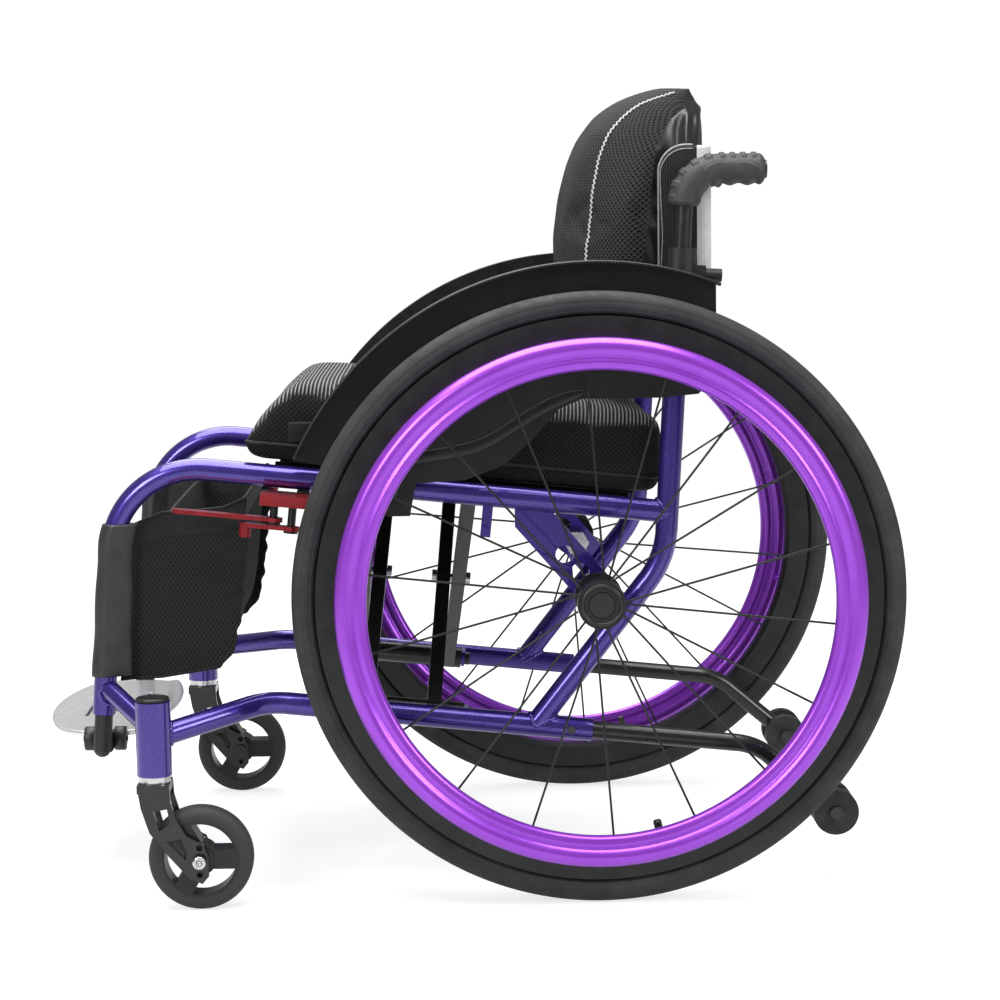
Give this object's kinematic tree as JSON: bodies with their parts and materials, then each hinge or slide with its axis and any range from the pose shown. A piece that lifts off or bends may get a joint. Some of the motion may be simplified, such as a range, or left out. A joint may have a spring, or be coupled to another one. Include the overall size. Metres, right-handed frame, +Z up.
{
  "type": "folding wheelchair",
  "caption": "Folding sports wheelchair with spoked rear wheels and handrims, swivelling casters, padded seat and back, brakes, side guards and anti-tip supports.",
  "frame": {"origin": "middle of the object's length and width, on the floor", "axes": "+X the way the chair faces, +Y to its left, +Z up"},
  "size_m": [0.8569, 0.594, 0.789],
  "materials": {
    "tyre": "matte black rubber, fine tread",
    "rim": "satin black",
    "spoke": "black",
    "hub": "satin black",
    "handrim": "satin violet anodised",
    "frame": "blue-purple metallic flake",
    "silver": "satin",
    "foot_black": "matte black",
    "fork": "satin black",
    "caster": "matte black",
    "brace": "satin black",
    "seat_cloth": "black mesh",
    "back_cloth": "black mesh with leatherette sides",
    "grip": "matte black, ribbed",
    "guard": "black",
    "brake": "red anodised",
    "black_plastic": "matte black",
    "button": "dark grey"
  },
  "bodies": {
    "left_frame": {"side_tube_left": "frame", "lower_rail_left": "frame", "back_cane_left": "frame", "axle_plate_left": "frame", "axle_left": "silver", "leg_insert_left": "foot_black", "handle_clamp_left": "black_plastic", "side_guard_left": "guard", "brake_mount_left": "brake", "back_pad": "back_cloth", "back_sling": "back_cloth", "calf_bag": "seat_cloth"},
    "right_frame": {"side_tube_right": "frame", "lower_rail_right": "frame", "back_cane_right": "frame", "axle_plate_right": "frame", "axle_right": "silver", "leg_insert_right": "foot_black", "handle_clamp_right": "black_plastic", "side_guard_right": "guard", "brake_mount_right": "brake"},
    "brace_a": {"brace_left": "brace", "brace_bolts": "brace"},
    "brace_b": {"brace_right": "brace"},
    "cushion": {"seat_cushion": "seat_cloth", "seat_sling": "seat_cloth"},
    "footplate": {"footplate": "silver"},
    "wheel_left": {"tyre_left": "tyre", "rim_left": "rim", "spokes_left": "spoke", "hub_left": "hub", "handrim_left": "handrim"},
    "axle_button_left": {"axle_button_left": "black_plastic"},
    "fork_left": {"caster_fork_left": "fork"},
    "caster_left": {"caster_wheel_left": "caster"},
    "anti_tip_left": {"anti_tip_tube_left": "fork"},
    "anti_tip_roll_left": {"anti_tip_wheels_left": "caster"},
    "snap_left": {"snap_button_left": "button"},
    "lever_left": {"brake_lever_left": "brake"},
    "shoe_left": {"brake_shoe_left": "brake"},
    "handle_left": {"handle_tube_left": "fork", "grip_left": "grip"},
    "knob_left": {"clamp_knob_left": "black_plastic"},
    "wheel_right": {"tyre_right": "tyre", "rim_right": "rim", "spokes_right": "spoke", "hub_right": "hub", "handrim_right": "handrim"},
    "axle_button_right": {"axle_button_right": "black_plastic"},
    "fork_right": {"caster_fork_right": "fork"},
    "caster_right": {"caster_wheel_right": "caster"},
    "anti_tip_right": {"anti_tip_tube_right": "fork"},
    "anti_tip_roll_right": {"anti_tip_wheels_right": "caster"},
    "snap_right": {"snap_button_right": "button"},
    "lever_right": {"brake_lever_right": "brake"},
    "shoe_right": {"brake_shoe_right": "brake"},
    "handle_right": {"handle_tube_right": "fork", "grip_right": "grip"},
    "knob_right": {"clamp_knob_right": "black_plastic"}
  },
  "joints": [
    {"name": "fold", "type": "hinge", "parent": "left_frame", "child": "brace_a", "pos_m": [0.06139, 0.158, 0.17413], "axis": [-0.9943, 0, -0.1063], "range_deg": [0, 38], "deforming": ["back_pad", "back_sling", "calf_bag", "seat_cushion", "seat_sling"]},
    {"name": "brace_cross", "type": "hinge", "parent": "brace_a", "child": "brace_b", "pos_m": [0.04941, 0, 0.28625], "axis": [-0.9943, 0, -0.1063], "range_deg": [-76, 0]},
    {"name": "right_fold", "type": "hinge", "parent": "brace_b", "child": "right_frame", "pos_m": [0.06139, -0.158, 0.17413], "axis": [-0.9943, 0, -0.1063], "range_deg": [0, 38]},
    {"name": "cushion_lift", "type": "slide", "parent": "left_frame", "child": "cushion", "axis": [-0.1063, 0, 0.9943], "range_m": [0, 0.1472]},
    {"name": "footplate_flip", "type": "hinge", "parent": "left_frame", "child": "footplate", "pos_m": [0.35476, 0.16, 0.149], "axis": [-1, 0, 0], "range_deg": [0, 88.2]},
    {"name": "wheel_spin_left", "type": "hinge", "parent": "left_frame", "child": "wheel_left", "pos_m": [-0.1335, 0.252, 0.295], "axis": [0, 1, 0], "continuous": true},
    {"name": "axle_button_press_left", "type": "slide", "parent": "left_frame", "child": "axle_button_left", "axis": [0, -1, 0], "range_m": [0, 0.0025], "stiffness_N_per_m": 300},
    {"name": "caster_swivel_left", "type": "hinge", "parent": "left_frame", "child": "fork_left", "pos_m": [0.2965, 0.252, 0.1315], "axis": [0, 0, 1], "continuous": true},
    {"name": "caster_spin_left", "type": "hinge", "parent": "fork_left", "child": "caster_left", "pos_m": [0.2535, 0.252, 0.0505], "axis": [0, 1, 0], "continuous": true},
    {"name": "anti_tip_swing_left", "type": "hinge", "parent": "left_frame", "child": "anti_tip_left", "pos_m": [-0.1289, 0.184, 0.15379], "axis": [-0.9943, 0, -0.1063], "range_deg": [0, 180]},
    {"name": "anti_tip_spin_left", "type": "hinge", "parent": "anti_tip_left", "child": "anti_tip_roll_left", "pos_m": [-0.36823, 0.184, 0.07141], "axis": [0, 1, 0], "continuous": true},
    {"name": "snap_press_left", "type": "slide", "parent": "left_frame", "child": "snap_left", "axis": [0, -1, 0], "range_m": [0, 0.0015], "stiffness_N_per_m": 200},
    {"name": "brake_lever_left", "type": "hinge", "parent": "left_frame", "child": "lever_left", "pos_m": [0.18016, 0.204, 0.37086], "axis": [-0.1063, 0, 0.9943], "range_deg": [0, 90]},
    {"name": "brake_shoe_left", "type": "hinge", "parent": "left_frame", "child": "shoe_left", "pos_m": [0.163, 0.208, 0.36199], "axis": [-0.1063, 0, 0.9943], "range_deg": [0, 90]},
    {"name": "handle_slide_left", "type": "slide", "parent": "left_frame", "child": "handle_left", "axis": [-0.0593, 0, 0.9982], "range_m": [-0.03, 0.04]},
    {"name": "knob_turn_left", "type": "hinge", "parent": "left_frame", "child": "knob_left", "pos_m": [-0.21892, 0.184, 0.60304], "axis": [-0.9982, 0, -0.0593], "range_deg": [0, 270]},
    {"name": "wheel_spin_right", "type": "hinge", "parent": "right_frame", "child": "wheel_right", "pos_m": [-0.1335, -0.252, 0.295], "axis": [0, 1, 0], "continuous": true},
    {"name": "axle_button_press_right", "type": "slide", "parent": "right_frame", "child": "axle_button_right", "axis": [0, 1, 0], "range_m": [0, 0.0025], "stiffness_N_per_m": 300},
    {"name": "caster_swivel_right", "type": "hinge", "parent": "right_frame", "child": "fork_right", "pos_m": [0.2965, -0.252, 0.1315], "axis": [0, 0, 1], "continuous": true},
    {"name": "caster_spin_right", "type": "hinge", "parent": "fork_right", "child": "caster_right", "pos_m": [0.2535, -0.252, 0.0505], "axis": [0, 1, 0], "continuous": true},
    {"name": "anti_tip_swing_right", "type": "hinge", "parent": "right_frame", "child": "anti_tip_right", "pos_m": [-0.1289, -0.184, 0.15379], "axis": [0.9943, 0, 0.1063], "range_deg": [0, 180]},
    {"name": "anti_tip_spin_right", "type": "hinge", "parent": "anti_tip_right", "child": "anti_tip_roll_right", "pos_m": [-0.36823, -0.184, 0.07141], "axis": [0, 1, 0], "continuous": true},
    {"name": "snap_press_right", "type": "slide", "parent": "right_frame", "child": "snap_right", "axis": [0, 1, 0], "range_m": [0, 0.0015], "stiffness_N_per_m": 200},
    {"name": "brake_lever_right", "type": "hinge", "parent": "right_frame", "child": "lever_right", "pos_m": [0.18016, -0.204, 0.37086], "axis": [0.1063, 0, -0.9943], "range_deg": [0, 90]},
    {"name": "brake_shoe_right", "type": "hinge", "parent": "right_frame", "child": "shoe_right", "pos_m": [0.163, -0.208, 0.36199], "axis": [0.1063, 0, -0.9943], "range_deg": [0, 90]},
    {"name": "handle_slide_right", "type": "slide", "parent": "right_frame", "child": "handle_right", "axis": [-0.0593, 0, 0.9982], "range_m": [-0.03, 0.04]},
    {"name": "knob_turn_right", "type": "hinge", "parent": "right_frame", "child": "knob_right", "pos_m": [-0.21892, -0.184, 0.60304], "axis": [-0.9982, 0, -0.0593], "range_deg": [0, 270]}
  ],
  "couplings": [
    {"joint": "brace_cross", "follows": "fold", "ratio": -2},
    {"joint": "right_fold", "follows": "fold", "ratio": 1},
    {"joint": "cushion_lift", "follows": "fold", "m_per_rad": 0.22125},
    {"joint": "footplate_flip", "follows": "fold", "ratio": 2.3158},
    {"joint": "brake_shoe_left", "follows": "brake_lever_left", "ratio": 1},
    {"joint": "brake_shoe_right", "follows": "brake_lever_right", "ratio": 1}
  ]
}
